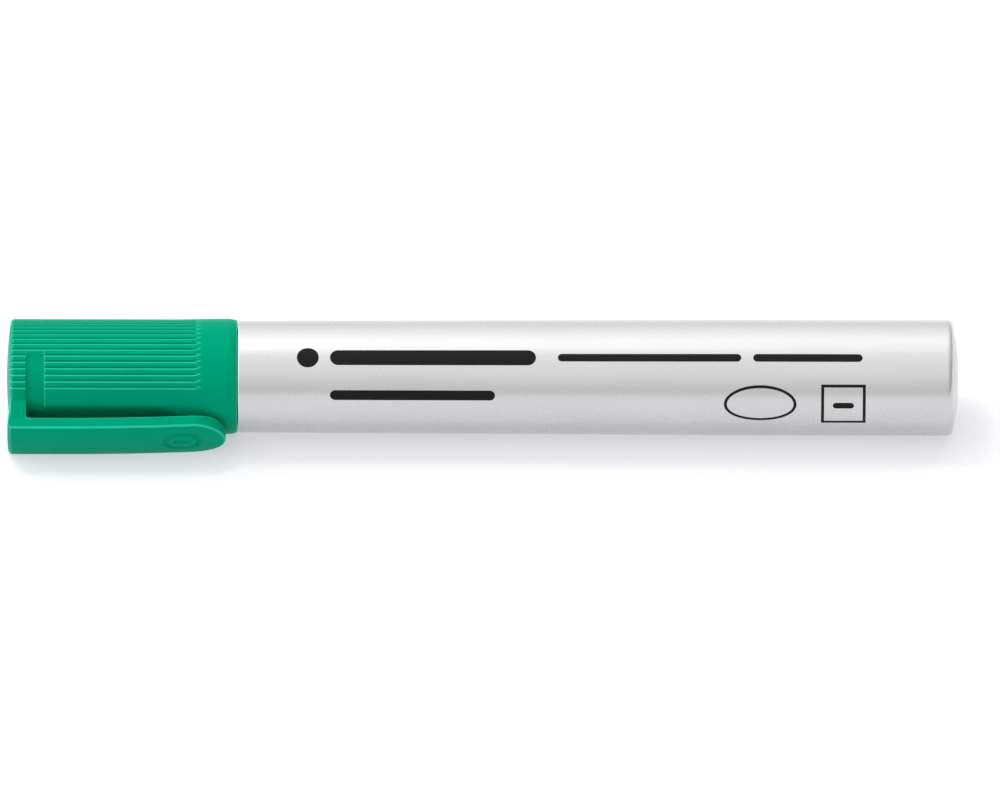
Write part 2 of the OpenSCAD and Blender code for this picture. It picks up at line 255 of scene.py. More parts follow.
def rounded(points, step=15.0, support=0.05):
    """An outline [s, r] whose corners are rounded. Each point is (s, r) or (s, r, corner radius).

    A point just outside each arc keeps the neighbouring straight stretch flat in smooth shading.
    Where the first and last points have a radius too, the outline is a closed one.
    """
    corners = [(np.array(p[:2], float), p[2] if len(p) > 2 else 0) for p in points]
    made = []
    for i, (p, radius) in enumerate(corners):
        if not radius:
            made.append(p)
            continue
        before, after = corners[i - 1][0] - p, corners[(i + 1) % len(corners)][0] - p
        room = min(np.linalg.norm(before), np.linalg.norm(after))
        before, after = before / np.linalg.norm(before), after / np.linalg.norm(after)
        half = math.acos(np.clip(before @ after, -1, 1)) / 2
        reach = min(radius / math.tan(half), 0.45 * room)
        radius = reach * math.tan(half)
        middle = before + after
        centre = p + middle / np.linalg.norm(middle) * radius / math.sin(half)
        start, end = p + before * reach - centre, p + after * reach - centre
        first = math.atan2(start[1], start[0])
        sweep = (math.atan2(end[1], end[0]) - first + math.pi) % (2 * math.pi) - math.pi
        count = max(2, math.ceil(abs(math.degrees(sweep)) / step))
        made.append(p + before * min(reach + support, 0.5 * room))
        for t in np.linspace(first, first + sweep, count + 1):
            made.append(centre + radius * np.array([math.cos(t), math.sin(t)]))
        made.append(p + after * min(reach + support, 0.5 * room))
    return np.array(made)


def lathe(name, outline, material, closed=False, segments=160, **options):
    """A solid of revolution about the marker's axis from an outline of [s, r] points."""
    outline = np.asarray(outline, float)
    turn = np.arange(segments) * 360 / segments
    points = turned(outline[:, :1], outline[:, 1:], turn[None, :])
    return grid_piece(name, points, material, close_rows=closed, close_columns=True, **options)


def domed_end(side_r, dome_r, corner_r, from_r=0.0, steps=10):
    """Outline [depth, r] of a domed end with a rounded corner, from radius from_r outwards."""
    lean = math.degrees(math.asin((side_r - corner_r) / (dome_r - corner_r)))
    rise = math.sqrt(dome_r**2 - from_r**2)
    first = 180 - math.degrees(math.asin(from_r / dome_r))
    dome = arc((rise, 0), dome_r, first, 180 - lean, steps)
    centre = (rise - (dome_r - corner_r) * math.cos(math.radians(lean)), side_r - corner_r)
    return np.concatenate([dome, arc(centre, corner_r, 180 - lean, 90, 6)[1:]])


# ---------------------------------------------------------------------------------------------
# Materials
# ---------------------------------------------------------------------------------------------


class Nodes:
    """A short way to write a material's node tree."""

    def __init__(self, name):
        self.material = bpy.data.materials.new(name)
        self.material.use_nodes = True
        self.tree = self.material.node_tree
        self.shader = self.tree.nodes["Principled BSDF"]

    def add(self, kind, **values):
        """A node with the given settings; a name with an underscore in front is a socket."""
        node = self.tree.nodes.new(kind)
        for key, value in values.items():
            if key.startswith("_"):
                self.put(node.inputs[key[1:].replace("_", " ")], value)
            else:
                setattr(node, key, value)
        return node

    def put(self, socket, value):
        """Links an output to a socket, or sets the socket's own value."""
        if isinstance(value, bpy.types.NodeSocket):
            self.tree.links.new(value, socket)
        else:
            socket.default_value = value

    def set(self, **values):
        """Sets or links the Principled shader's sockets."""
        for key, value in values.items():
            self.put(self.shader.inputs[key.replace("_", " ")], value)
        return self

    def position(self, stretch=(1, 1, 1)):
        """The object's own coordinates in mm, scaled along each axis."""
        coordinates = self.add("ShaderNodeTexCoord").outputs["Object"]
        scale = [v / MM for v in stretch]
        return self.add("ShaderNodeMapping", _Vector=coordinates, _Scale=scale).outputs["Vector"]

    def noise(self, scale, detail=2.0, stretch=(1, 1, 1), roughness=0.5):
        """Noise whose scale is in cells per mm."""
        return self.add(
            "ShaderNodeTexNoise",
            _Vector=self.position(stretch),
            _Scale=scale,
            _Detail=detail,
            _Roughness=roughness,
        ).outputs["Fac"]

    def ranged(self, value, low, high, from_low=0.3, from_high=0.7):
        """A value moved from one range to another."""
        return self.add(
            "ShaderNodeMapRange",
            _Value=value,
            _From_Min=from_low,
            _From_Max=from_high,
            _To_Min=low,
            _To_Max=high,
        ).outputs["Result"]

    def mixed(self, factor, first, second):
        """A colour between two colours."""
        node = self.add("ShaderNodeMix", data_type="RGBA")
        self.put(node.inputs["Factor"], factor)
        self.put(node.inputs[6], (*first, 1) if isinstance(first, tuple) else first)
        self.put(node.inputs[7], (*second, 1) if isinstance(second, tuple) else second)
        return node.outputs[2]

    def summed(self, first, second):
        """The sum of two values."""
        node = self.add("ShaderNodeMath", operation="ADD")
        self.put(node.inputs[0], first)
        self.put(node.inputs[1], second)
        return node.outputs[0]

    def highlighted_edges(self, colour, edge_highlight_colour, roughness, drop):
        """Colour and roughness with a painted highlight on the outward edges, which are also made
        smoother.
        """
        edge = self.add("ShaderNodeAttribute", attribute_name="edge").outputs["Fac"]
        smoother = self.ranged(edge, 0, -drop, 0, 1)
        # Painted highlight: outward edges get the lighter edge colour
        return self.set(
            Base_Color=self.mixed(edge, colour, edge_highlight_colour),
            Roughness=self.summed(roughness, smoother),
        )

    def bump(self, height, depth_mm, strength=1.0):
        """Bump from a height between 0 and 1 that stands for depth_mm."""
        normal = self.add("ShaderNodeBump", _Height=height, _Distance=depth_mm * MM, _Strength=strength)
        return self.set(Normal=normal.outputs["Normal"])


def moulded_green():
    """Satin green polypropylene: nearly even colour, faint flow marks and a fine eroded texture."""
    n = Nodes("satin_green_plastic")
    flow = n.noise(0.35, detail=3, stretch=(0.35, 1, 1))
    grain = n.noise(9.0, detail=4, roughness=0.6)
    pores = n.noise(28.0, detail=2)
    colour = n.mixed(n.ranged(flow, 0, 1), (0.0, 0.272, 0.142), (0.0, 0.292, 0.154))
    roughness = n.ranged(n.summed(grain, flow), 0.30, 0.38, 0.7, 1.3)
    # Painted highlight: outward edges turn a lighter green, and are also smoother
    n.highlighted_edges(colour, (0.020, 0.480, 0.330), roughness, 0.10)
    # These three are set for the photograph's soft gloss. The real plastic's IOR is about 1.5.
    n.set(Metallic=0.10, IOR=1.07, Specular_Tint=(0.10, 1.0, 1.0, 1.0))
    return n.bump(n.summed(grain, pores), 0.0035, 0.5).material


def moulded_silver():
    """Silver-pigmented plastic: fine metal flakes under a satin skin."""
    n = Nodes("satin_silver_plastic")
    flakes = n.add("ShaderNodeTexVoronoi", _Vector=n.position(), _Scale=22.0).outputs["Color"]
    sparkle = n.add("ShaderNodeSeparateColor", _Color=flakes).outputs["Red"]
    flow = n.noise(0.25, detail=3, stretch=(0.25, 1, 1))
    skin = n.noise(3.0, detail=3, stretch=(0.6, 1, 1))
    base = n.mixed(n.ranged(flow, 0, 1), (0.570, 0.571, 0.573), (0.595, 0.596, 0.598))
    colour = n.mixed(n.ranged(sparkle, 0, 0.08, 0, 1), base, (0.70, 0.70, 0.705))
    roughness = n.ranged(n.summed(skin, sparkle), 0.25, 0.29, 0.3, 1.6)
    # Painted highlight: outward edges turn a lighter silver, and are also smoother
    n.highlighted_edges(colour, (0.74, 0.74, 0.745), roughness, 0.04)
    n.set(Metallic=0.90, IOR=1.5)
    return n.bump(n.summed(skin, sparkle), 0.002, 0.10).material


def moulded_grey():
    """Fine matte grey plastic of the nib holder."""
    n = Nodes("matte_grey_plastic")
    grain = n.noise(12.0, detail=4, roughness=0.6)
    flow = n.noise(0.5, detail=2)
    n.set(
        Base_Color=n.mixed(n.ranged(flow, 0, 1), (0.50, 0.51, 0.52), (0.56, 0.57, 0.58)),
        Roughness=n.ranged(grain, 0.42, 0.55),
        Metallic=0.25,
        IOR=1.49,
    )
    return n.bump(grain, 0.004, 0.5).material


def natural_liner():
    """Uncoloured, slightly translucent polyethylene of the inner cap."""
    n = Nodes("natural_polyethylene")
    flow = n.noise(0.4, detail=3, stretch=(0.4, 1, 1))
    n.set(
        Base_Color=n.mixed(n.ranged(flow, 0, 1), (0.78, 0.80, 0.78), (0.86, 0.88, 0.86)),
        Roughness=n.ranged(flow, 0.32, 0.42),
        IOR=1.51,
        Subsurface_Weight=0.35,
        Subsurface_Radius=(1.0, 1.0, 0.9),
        Subsurface_Scale=0.0012,
    )
    return n.bump(n.noise(8.0, detail=3), 0.003, 0.4).material


def wet_felt(name, dark, light, depth):
    """Bundled fibres running along the marker, soaked with ink."""
    n = Nodes(name)
    fibres = n.noise(11.0, detail=4, stretch=(0.06, 1, 1), roughness=0.65)
    patches = n.noise(0.9, detail=3)
    shade = n.mixed(n.ranged(fibres, 0, 1), dark, light)
    n.set(
        Base_Color=n.mixed(n.ranged(patches, 0, 0.45), shade, dark),
        Roughness=n.ranged(fibres, 0.55, 0.85),
        IOR=1.4,
        Sheen_Weight=0.15,
        Sheen_Roughness=0.5,
    )
    return n.bump(fibres, depth, 0.9).material


def clear_film():
    """Thin clear film round the reservoir, with faint wrinkles."""
    n = Nodes("clear_film")
    wrinkles = n.noise(0.8, detail=4, stretch=(0.3, 1, 1))
    n.set(
        Base_Color=n.mixed(n.ranged(wrinkles, 0, 1), (0.86, 0.90, 0.90), (0.93, 0.95, 0.95)),
        Roughness=n.ranged(wrinkles, 0.12, 0.3),
        IOR=1.5,
        Alpha=0.4,
    )
    return n.bump(wrinkles, 0.03, 0.6).material


def printing_ink():
    """Black ink, very slightly uneven. Its IOR is set low for the photograph's soft gloss."""
    n = Nodes("black_print")
    blotch = n.noise(5.0, detail=3)
    n.set(
        Base_Color=n.mixed(n.ranged(blotch, 0, 1), (0.004, 0.0035, 0.0037), (0.009, 0.008, 0.0083)),
        Roughness=n.ranged(blotch, 0.42, 0.52),
        IOR=1.22,
    )
    return n.bump(blotch, 0.001, 0.3).material


def white_table():
    """Plain matte white floor that glows a little, as a product table lit from below does."""
    n = Nodes("white_table")
    n.set(
        Base_Color=(0.45, 0.45, 0.45, 1.0),
        Roughness=0.7,
        Specular_IOR_Level=0.0,
        Emission_Color=(1.0, 0.985, 1.045, 1.0),
        Emission_Strength=0.47,
    )
    return n.material


GREEN = moulded_green()
SILVER = moulded_silver()
GREY = moulded_grey()
LINER = natural_liner()
NIB = wet_felt("inked_nib", (0.004, 0.085, 0.045), (0.012, 0.190, 0.105), 0.03)
FIBRE = wet_felt("inked_fibre", (0.010, 0.150, 0.080), (0.030, 0.300, 0.170), 0.05)
FILM = clear_film()
INK = printing_ink()

# ---------------------------------------------------------------------------------------------
# Barrel and rear plug
# ---------------------------------------------------------------------------------------------


def barrel_radius(s):
    """The barrel's outer radius: a slight taper to the front, straight at the rear."""
    straight_s = TOTAL - REAR_CORNER_R - REAR_STRAIGHT
    share = np.clip((np.asarray(s, float) - BARREL_S) / (straight_s - BARREL_S), 0, 1)
    return FRONT_R + (REAR_R - FRONT_R) * share


def rear_face():
    """The outline [s, r] of the rear end, from its flat out to the side."""
    outline = domed_end(REAR_R, REAR_DOME_R, REAR_CORNER_R, REAR_FLAT_R)
    return np.stack([TOTAL - outline[:, 0], outline[:, 1]], axis=1)


def make_barrel():
    front = rounded(
        [
            (BARREL_S + 0.6, SOCKET_R),
            (BARREL_S, SOCKET_R, 0.1),
            (BARREL_S, FRONT_R, 0.16),
            (BARREL_S + 0.8, FRONT_R),
        ]
    )[1:-1]
    face = rear_face()[::-1]
    body_s = np.linspace(BARREL_S + 1.0, face[0, 0] - 0.05, 60)
    body = np.stack([body_s, barrel_radius(body_s)], axis=1)
    seam_r = BORE_R + 0.16
    face = face[face[:, 1] > seam_r + 0.1]
    seam_s = np.interp(seam_r, rear_face()[:, 1], rear_face()[:, 0])
    inner = rounded(
        [
            (face[-1, 0], face[-1, 1]),
            (seam_s, seam_r - 0.04, 0.12),
            (seam_s - 0.5, BORE_R, 0.2),
            (PLUG_END_S + 1.0, BORE_R, 0.1),
            (PLUG_END_S + 0.8, SOCKET_R, 0.1),
            (BARREL_S + 0.6, SOCKET_R),
        ]
    )[1:]
    outline = np.concatenate([front, body, face, inner])
    barrel = lathe("barrel_body", outline, SILVER, closed=True, segments=192)
    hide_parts("barrel")
    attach(barrel, "root")


def make_rear_plug():
    skirt_r = BORE_R - 0.02
    face = rear_face()
    face = face[face[:, 1] < skirt_r - 0.25]
    edge_s = np.interp(skirt_r - 0.05, rear_face()[:, 1], rear_face()[:, 0])
    gate = rounded(
        [
            (TOTAL - 0.10, 0),
            (TOTAL - 0.10, 0.75, 0.05),
            (TOTAL - 0.01, 0.85, 0.05),
            (TOTAL - 0.01, 2.0),
        ]
    )
    side = rounded(
        [
            (face[-1, 0], face[-1, 1]),
            (edge_s, skirt_r, 0.14),
            (REAR_PLUG_S, skirt_r, 0.2),
            (REAR_PLUG_S, skirt_r - 1.3, 0.2),
            (edge_s - 1.3, skirt_r - 1.3, 0.3),
            (edge_s - 1.3, 0),
        ]
    )
    outline = np.concatenate([gate, face, side[1:]])
    plug = lathe("rear_plug_body", outline, SILVER, segments=192)
    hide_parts("rear_plug")
    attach(plug, "root")


# ---------------------------------------------------------------------------------------------
# Nib holder, nib, reservoir
# ---------------------------------------------------------------------------------------------


def make_nib_holder():
    nose_r, neck_r, nib_r = 5.0, 6.8, 2.62
    shoulder_s = 24.5
    socket_r = SOCKET_R - 0.02
    outline = rounded(
        [
            (NOSE_S, nib_r, 0.15),
            (NOSE_S, nose_r, 0.55),
            (shoulder_s - 3.2, nose_r, 0.2),
            (shoulder_s - 3.0, nose_r - 0.12, 0.1),
            (shoulder_s - 2.4, nose_r - 0.12, 0.1),
            (shoulder_s - 2.2, nose_r, 0.2),
            (shoulder_s, nose_r, 0.3),
            (shoulder_s, neck_r, 0.35),
            (SNAP_S - 0.7, neck_r, 0.3),
            (SNAP_S - 0.2, neck_r + 0.15, 0.2),
            (SNAP_S + 0.2, neck_r + 0.15, 0.2),
            (SNAP_S + 0.7, neck_r, 0.3),
            (BARREL_S, neck_r, 0.08),
            (BARREL_S, socket_r, 0.08),
            (PLUG_END_S, socket_r, 0.3),
            (PLUG_END_S, socket_r - 1.2, 0.1),
            (shoulder_s + 1.2, socket_r - 1.2, 0.4),
            (shoulder_s + 1.2, nib_r + 1.0, 0.3),
            (PLUG_END_S - 1.2, nib_r + 1.0, 0.1),
            (PLUG_END_S - 1.2, nib_r, 0.1),
        ]
    )
    holder = lathe("nib_holder_body", outline, GREY, closed=True)
    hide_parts("nib_holder")
    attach(holder, "root")


def make_nib():
    """A flat-sided fibre rod. Its writing edge is slanted, and a wedge runs up to it."""
    width, thickness, edge = 5.2, 4.0, 0.34
    slant, wedge, point = math.tan(math.radians(35)), math.tan(math.radians(24)), 5.0
    turn = np.arange(96) * 360 / 96
    across = width / 2 * np.cos(np.radians(turn))
    flat = thickness / 2
    out = width / 2 * np.sin(np.radians(turn))
    # A soft limit rounds the corners between the round sides and the flats
    out = np.sign(out) * flat * (1 - np.exp(-((np.abs(out) / flat) ** 4))) ** 0.25
    steps = [0, 0.02, 0.08, 0.2, 0.4, 0.8, 1.3, 2.0, 2.8, 3.4, 3.8, 4.2, 5.0, 7.0]
    rows = []
    for step in steps:
        half = edge + step * wedge
        round_off = 0.16 * math.exp(-step / 0.12)
        limit = max(half - round_off * 1.9, 0) if step else 0
        thin = np.sign(out) * np.minimum(np.abs(out), limit)
        narrow = across * (1 - round_off / (width / 2))
        tip_s = NIB_S + (narrow + width / 2) * slant
        rows.append(place(tip_s + step, thin, narrow))
    for s in (NIB_S + 12, NIB_END_S - point - 1, NIB_END_S - point):
        rows.append(place(np.full(96, s), out, across))
    for share in (0.25, 0.5, 0.75, 1.0):
        size = 1 - 0.93 * share
        rows.append(place(np.full(96, NIB_END_S - point * (1 - share)), out * size, across * size))
    rows.append(place(np.full(96, NIB_END_S), out * 0, across * 0))
    nib = grid_piece("chisel_nib_felt", np.array(rows), NIB, close_columns=True)
    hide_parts("chisel_nib")
    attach(nib, "root")


def finish_reservoir():
    """The reservoir's CAD solids keep their shape and get their own materials."""
    for node, material in (("reservoir_fibre", FIBRE), ("reservoir_film", FILM)):
        mesh = frame["nodes"][node].data
        mesh.materials.clear()
        mesh.materials.append(material)


# ---------------------------------------------------------------------------------------------
# Cap and inner cap
# ---------------------------------------------------------------------------------------------


def cap_columns():
    """The turns of the cap mesh's columns, and how deep a grip groove is at each, from 0 to 1.

    A groove has a rounded, easy wall on the clip's side and a steep one away from it.
    """
    easy = np.array([1.0, 0.84, 0.68, 0.52, 0.36, 0.2, 0.08])
    across = np.concatenate([-GROOVE_EASY_W * easy, [0, GROOVE_STEEP_W, GROOVE_STEEP_W + 0.05]])
    one_depth = np.concatenate([(1 - easy) ** 2, [0.95, 0, 0]])
    one_turn = np.degrees(across / LAND_R)
    turns, depths = [], []
    for i in range(GROOVES):
        middle = 180 + (i - (GROOVES - 1) / 2) * GROOVE_PITCH
        side = 1 if middle < 180 else -1
        turns.extend(middle + (one_turn * side)[::side])
        depths.extend(one_depth[::side])
        if i < GROOVES - 1:
            turns.append(middle + GROOVE_PITCH / 2)
            depths.append(0)
    first, last = turns[0], turns[-1]
    plain = np.linspace(last - 360, first, 48)[1:-1]
    return np.concatenate([plain, turns]), np.concatenate([plain * 0, depths])


def cap_base_radius(s):
    """The cap's outer radius over the lands: a slight flare towards the lip."""
    return LAND_R + (LIP_R - LAND_R) * smooth((np.asarray(s, float) - 24) / 6)


def groove_lift(s):
    """How far the groove's floor has risen at s, as the grooves run out near the lip."""
    return smooth((s - GROOVE_FADE_S) / (GROOVE_END_S - GROOVE_FADE_S))


def slot_depth(turn):
    """Depth of the slot beside the clip's root: it fades out round the sides of the cap."""
    away = np.abs((turn + 180) % 360 - 180)
    fade = smooth((SLOT_TURN - away) / SLOT_FADE)
    return SLOT_DEPTH * fade + SLOT_EXTRA * fade * np.clip(np.cos(np.radians(away)), 0, 1)


def flat_limit(s, turn):
    """The radius of the flat under the clip, which slopes up to the surface near the cap's mouth."""
    rise = np.clip((s - FLAT_TO_S) / (FLAT_END_S - FLAT_TO_S), 0, 1) * (LAND_R - FLAT_R)
    return (FLAT_R + rise) / np.maximum(np.cos(np.radians(turn)), 0.1)


def soft_min(a, b, width=0.05):
    """The smaller of two values, with the corner between them rounded."""
    return (a + b - np.sqrt((a - b) ** 2 + width**2)) / 2


def cap_inside():
    """The cap's mouth and inside, from the taper of the lip to the closed end of the pocket."""
    taper_s = CAP_LEN - TAPER_LEN
    return rounded(
        [
            (taper_s - 1.2, LIP_R),
            (taper_s, LIP_R, 0.8),
            (CAP_LEN - TAPER_LEN / 2, LIP_R - TAPER_DEPTH * 0.3, 0.8),
            (CAP_LEN, LIP_R - TAPER_DEPTH, 0.1),
            (CAP_LEN, MOUTH_R + 0.2, 0.05),
            (CAP_LEN - 0.25, MOUTH_R, 0.1),
            (SNAP_S + 1.1, MOUTH_R, 0.2),
            (SNAP_S + 0.7, MOUTH_R + 0.08, 0.2),
            (SNAP_S - 0.4, MOUTH_R + 0.08, 0.2),
            (SNAP_S - 0.8, MOUTH_R, 0.2),
            (POCKET_TO_S, MOUTH_R, 0.1),
            (POCKET_TO_S - 0.2, POCKET_R, 0.1),
            (POCKET_FROM_S, POCKET_R, 0.2),
            (POCKET_FROM_S, 0),
        ]
    )[1:]


def make_cap():
    turn, groove = cap_columns()
    rows = []

    def add_row(s, base, lift=0.0, slot=0.0):
        # The grooves notch the rim of the closed end too, and fade out on its face
        cut = np.maximum(groove - lift, 0) * GROOVE_DEPTH * smooth((base - NOTCH_FROM_R) / NOTCH_FADE)
        onto_face = cut * smooth((LAND_R - SUNK_RIM - base) / SUNK_FADE)
        radius = base - cut
        if slot:
            floor = np.minimum(LAND_R - slot_depth(turn), LAND_R)
            sunk = np.minimum(radius, floor)
            sunk = np.where(slot_depth(turn) > 0.004, np.where(floor > radius, floor, sunk), radius)
            radius = radius + (sunk - radius) * slot
        if s >= SLOT_FROM_S and base <= LAND_R + 0.02:
            limit = flat_limit(s, turn)
            radius = np.where(limit < LAND_R + 0.4, soft_min(radius, limit), radius)
        rows.append(turned(s + onto_face, radius, turn))

    gate = rounded([(0.12, 0), (0.12, 0.75, 0.05), (0.006, 0.85, 0.05), (0.012, 1.2)])
    end = domed_end(LAND_R, CAP_DOME_R, CAP_CORNER_R, steps=24)
    for s, r in np.concatenate([gate, end[end[:, 1] > 1.3]]):
        add_row(s, r)
    for s in (1.2, 1.6, 2.0, 2.4, 2.75):
        add_row(s, LAND_R)
    edge = [(-0.08, 0.0), (-0.03, 0.04), (0.0, 0.18), (0.03, 0.82), (0.06, 0.96), (0.12, 1.0)]
    for offset, share in edge:
        add_row(SLOT_FROM_S + offset, LAND_R, slot=share)
    for s in (3.5, 4.1, 4.7):
        add_row(s, LAND_R, slot=1.0)
    for offset, share in reversed(edge):
        add_row(SLOT_TO_S - offset, LAND_R, slot=share)
    for s in np.concatenate([np.arange(5.6, 24, 1.6), np.arange(24.2, GROOVE_FADE_S, 0.5)]):
        add_row(s, float(cap_base_radius(s)))
    for s in np.arange(GROOVE_FADE_S, GROOVE_END_S + 0.1, 0.1):
        add_row(s, float(cap_base_radius(s)), lift=float(groove_lift(s)))
    for s in (28.1, 28.6, 29.1, 29.6, 30.1):
        add_row(s, float(cap_base_radius(s)), lift=1.0)
    for s, r in cap_inside():
        rows.append(turned(np.full(turn.shape, s), r, turn))
    cap = grid_piece("cap_body", np.array(rows), GREEN, close_columns=True, sharp=50)
    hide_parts("cap_shell")
    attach(cap, "cap")


def make_inner_cap():
    outer_r, inner_r, seal_r = POCKET_R - 0.02, 5.4, 5.04
    seal_s = LINER_END_S - 4
    outline = rounded(
        [
            (LINER_S, 0),
            (LINER_S, outer_r, 0.3),
            (LINER_END_S, outer_r, 0.15),
            (LINER_END_S, inner_r + 0.4, 0.12),
            (LINER_END_S - 0.5, inner_r, 0.3),
            (seal_s + 1.2, inner_r, 0.4),
            (seal_s + 0.5, seal_r, 0.4),
            (seal_s - 0.5, seal_r, 0.4),
            (seal_s - 1.2, inner_r, 0.4),
            (LINER_S + 1.2, inner_r, 0.5),
            (LINER_S + 1.2, 0),
        ]
    )
    liner = lathe("inner_cap_liner", outline, LINER)
    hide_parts("inner_cap")
    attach(liner, "cap")


# ---------------------------------------------------------------------------------------------
# Clip
# ---------------------------------------------------------------------------------------------


def clip_bow(s):
    """How far the clip has bowed inwards at s."""
    beyond = np.maximum(np.asarray(s, float) - CLIP_STRAIGHT, 0)
    return CLIP_BOW_R - np.sqrt(CLIP_BOW_R**2 - beyond**2)


def relief_reach(s, across):
    """How far out of the relief's middle a point of the clip is: 1 is at the relief's rim."""
    return np.hypot((s - RELIEF_S) / RELIEF_HALF_LEN, across / RELIEF_HALF_W)


def clip_relief(s, across):
    """Depth of the plain relief near the tip: a sunk oval ring round a sunk bar."""
    e = relief_reach(s, across)
    ring = smooth((1.0 - e) / 0.12) * smooth((e - 0.64) / 0.12)
    bar = smooth((1.35 - np.abs(s - RELIEF_S)) / 0.2) * smooth((0.55 - np.abs(across)) / 0.2)
    return 0.32 * ring + 0.22 * bar


def clip_half_width(out):
    """Half the clip's width at a height: it flares out into the cap below the clip."""
    below_top = CLIP_TOP - CLIP_CROWN - out
    under_arm = np.maximum(below_top - CLIP_T, 0)
    return CLIP_HALF_W + 0.05 * np.minimum(below_top, CLIP_T) + 0.30 * under_arm


def clip_section(s, angle=0.0, low=None, arched=False, pull=0.0, narrow=1.0, lean=0.0):
    """One ring of points round the clip.

    On the straight part angle is 0. At the tip, s is the middle of the round end and angle turns
    the ring about it. low is the height of the underside, arched follows the cap's wall there,
    pull draws the top edge in for the rounded root, narrow scales the width, and lean tips the
    root's end face.
    """
    edge, under_edge = 0.24, 0.16
    reach = CLIP_TIP_LEN / CLIP_HALF_W
    inner = CLIP_HALF_W - edge
    t = np.radians(np.linspace(0, 90, 7))
    top_across = np.concatenate([np.linspace(0, inner, 22)[:-1], inner + edge * np.sin(t)])
    top_drop = np.concatenate([np.zeros(21), edge * (1 - np.cos(t))])
    sine, cosine = math.sin(math.radians(angle)), math.cos(math.radians(angle))
    top_s = s + top_across * sine * reach
    top_side = top_across * cosine
    crown = CLIP_CROWN * (top_side / CLIP_HALF_W) ** 2
    top_out = CLIP_TOP - clip_bow(top_s) - crown - top_drop - pull
    top_out = top_out - clip_relief(top_s, top_side)

    arm_low = CLIP_TOP - CLIP_CROWN - CLIP_T
    reach_s = s + CLIP_TIP_LEN * sine
    if arched:
        low = ROOT_SIDE_OUT
    if low is None:
        lead = 0.5 * smooth((reach_s - (CLIP_END_S - 1.6)) / 1.6)
        low = arm_low - float(clip_bow(reach_s)) + lead
    side_from = top_out[-1]
    upper_to = max(arm_low - float(clip_bow(reach_s)), low) + under_edge
    upper = np.linspace(side_from, upper_to, 5)[1:]
    lower = np.linspace(upper_to, low + under_edge, 8)[1:]
    side_out = np.concatenate([upper, lower])
    # The flare counts from the bowed top, so the arm keeps its section all along
    side_across = clip_half_width(side_out + float(clip_bow(reach_s)))
    t = np.radians(np.linspace(0, 90, 5))[1:]
    under_out = low + under_edge * (1 - np.sin(t))
    under_across = side_across[-1] - under_edge * (1 - np.cos(t))
    flat_across = np.linspace(under_across[-1], 0, 8)[1:]
    low_across = np.concatenate([side_across, under_across, flat_across])
    flat_out = np.sqrt(ROOT_ARCH_R**2 - flat_across**2) if arched else np.full(7, low)
    low_out = np.concatenate([side_out, under_out, flat_out])

    half_s = np.concatenate([top_s, s + low_across * sine * reach])
    half_side = np.concatenate([top_side, low_across * cosine]) * narrow
    half_out = np.concatenate([top_out, low_out])
    half_s = half_s + lean * (CLIP_TOP - half_out)
    ring_s = np.concatenate([half_s, half_s[-2:0:-1]])
    ring_side = np.concatenate([half_side, -half_side[-2:0:-1]])
    ring_out = np.concatenate([half_out, half_out[-2:0:-1]])
    return place(ring_s, ring_out, ring_side)


def make_clip():
    """The clip with its root block, as one mesh that bends where the clip leaves the root."""
    # The lean sinks the end face into the cap's domed end
    face_s, corner_s, corner_out, face_lean = 0.02, 0.7, 1.2, 0.11
    fillet = 0.4
    arm_low = CLIP_TOP - CLIP_CROWN - CLIP_T
    rings = [clip_section(face_s, arched=True, pull=corner_out, narrow=0.0, lean=face_lean)]
    for t in np.radians(np.linspace(0, 90, 12)):
        drawn = 1 - math.sin(t)
        rings.append(
            clip_section(
                face_s + corner_s * (1 - math.cos(t)),
                arched=True,
                pull=corner_out * drawn,
                narrow=1 - 0.07 * drawn,
                lean=face_lean * math.cos(t),
            )
        )
    for s in (1.0, 1.6, 2.2, 2.7, ROOT_END_S):
        rings.append(clip_section(s, arched=True))
    for t in np.radians(np.linspace(0, 90, 7)):
        rings.append(
            clip_section(
                ROOT_END_S + 0.02 + fillet * (1 - math.cos(t)),
                low=arm_low - fillet * (1 - math.sin(t)),
            )
        )
    tip_s = CLIP_END_S - CLIP_TIP_LEN
    for s in np.concatenate([np.arange(3.6, 21.5, 0.8), np.arange(21.6, tip_s, 0.14)]):
        rings.append(clip_section(s))
    for angle in np.linspace(0, 90, 25):
        rings.append(clip_section(tip_s, angle=angle))
    clip = grid_piece("clip_arm", np.array(rings), GREEN, close_columns=True, sharp=50)
    # The sunk relief's edges get no painted edge highlight, so it stays darker
    edge_highlight = clip.data.attributes["edge"].data
    for vert, value in zip(clip.data.vertices, edge_highlight):
        across = (vert.co - Vector((0, AXIS_Y, AXIS_Z))).dot(ACROSS) / MM
        if relief_reach(along(vert.co.x), across) < RELIEF_BORDER:
            value.value = 0.0
    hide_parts("clip")
    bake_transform(clip)


# ---------------------------------------------------------------------------------------------
# Print on the barrel: plain shapes only, with no lettering
# ---------------------------------------------------------------------------------------------

# The line along the barrel that faces the camera, as a turn
VIEW_TURN = 61.5
# How far the ink stands out of the barrel, and how far it reaches into it
INK_HEIGHT, INK_DEPTH = 0.012, 0.02


